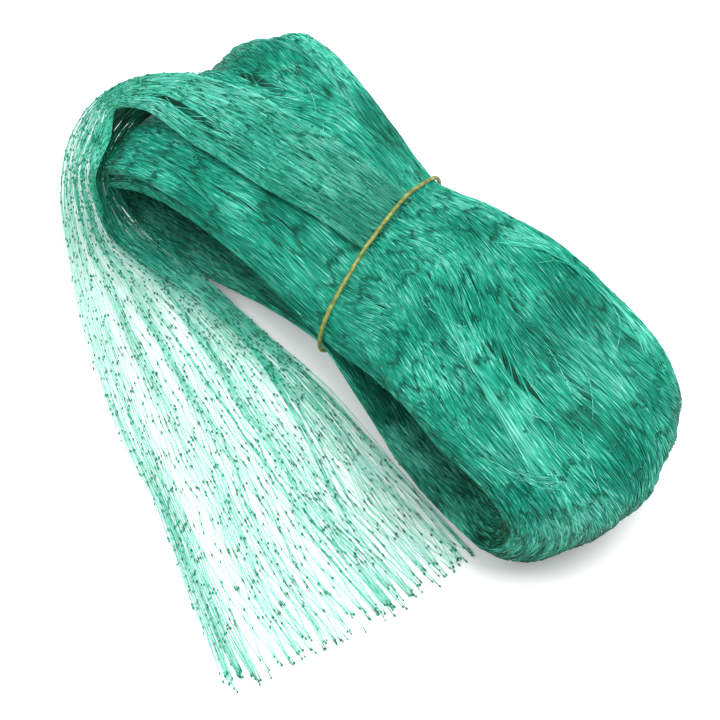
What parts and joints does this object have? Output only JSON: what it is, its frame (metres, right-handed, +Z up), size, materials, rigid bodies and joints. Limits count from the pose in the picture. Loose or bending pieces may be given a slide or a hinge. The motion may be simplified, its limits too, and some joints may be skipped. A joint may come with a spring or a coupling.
{
  "type": "bird netting roll",
  "caption": "Green knotted bird netting wound into a flat oblong hank, pinched at the waist by a thin rubber band, its loose end turned down beside one end and fanned out on the ground.",
  "frame": {"origin": "the middle of the footprint of hank and loose end together, on the ground they lie on", "axes": "+X along the hank's length to the end without the loose turn, +Y to the hank's far side, away from the fanned loose end, +Z up"},
  "size_m": [0.3462, 0.2703, 0.0934],
  "materials": {
    "nylon_netting": "glossy monofilament",
    "band_rubber": "satin"
  },
  "bodies": {
    "root": {"netting_hank": "nylon_netting", "loose_end": "nylon_netting", "rubber_band": "band_rubber"}
  },
  "joints": []
}
